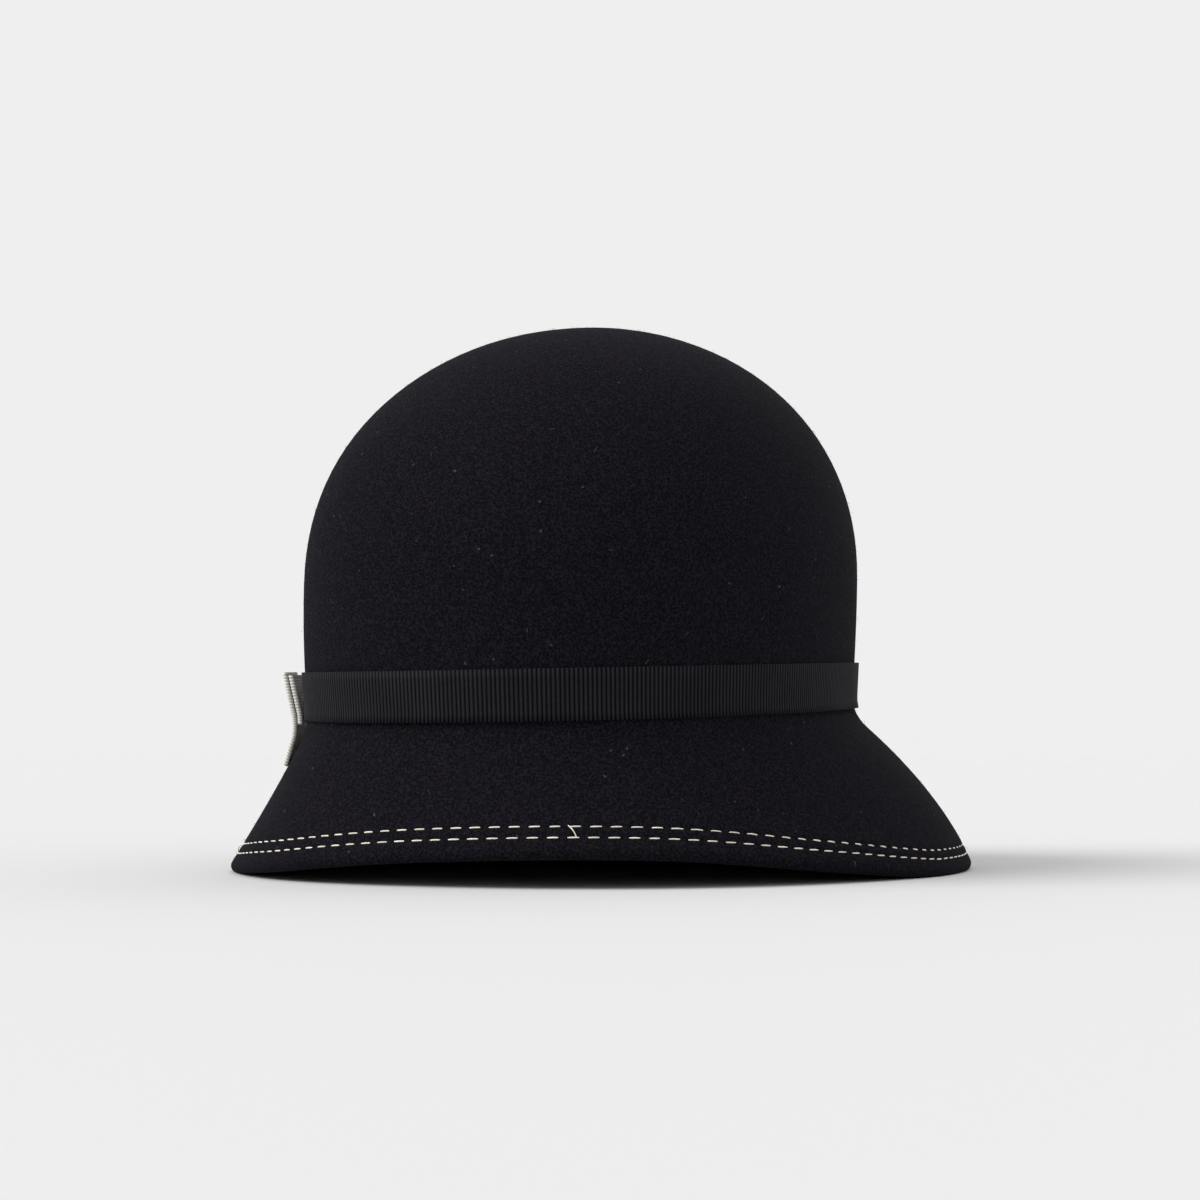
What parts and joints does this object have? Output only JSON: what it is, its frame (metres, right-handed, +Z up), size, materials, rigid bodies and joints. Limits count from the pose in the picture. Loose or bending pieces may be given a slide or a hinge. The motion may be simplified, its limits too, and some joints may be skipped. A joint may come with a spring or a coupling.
{
  "type": "cloche hat",
  "caption": "Cloche hat of blocked wool felt with a round crown, a short flared brim with a stitched hem, a ribbon band and a side ribbon tab.",
  "frame": {"origin": "under the middle of the bounding box, on the surface that the brim stands on", "axes": "+Z up through the crown, -Y the front that the wearer looks along, +X the wearer's left"},
  "size_m": [0.2418, 0.259, 0.1782],
  "materials": {
    "black_felt": "matt black wool felt with a fine short nap, hem topstitched in off-white thread",
    "black_grosgrain": "charcoal-black grosgrain ribbon with fine ribs across its width",
    "cream_grosgrain": "bright off-white grosgrain ribbon with fine ribs"
  },
  "bodies": {
    "root": {"felt_body": "black_felt", "ribbon_band": "black_grosgrain", "trim_tab_under": "cream_grosgrain", "trim_tab_top": "cream_grosgrain"}
  },
  "joints": []
}
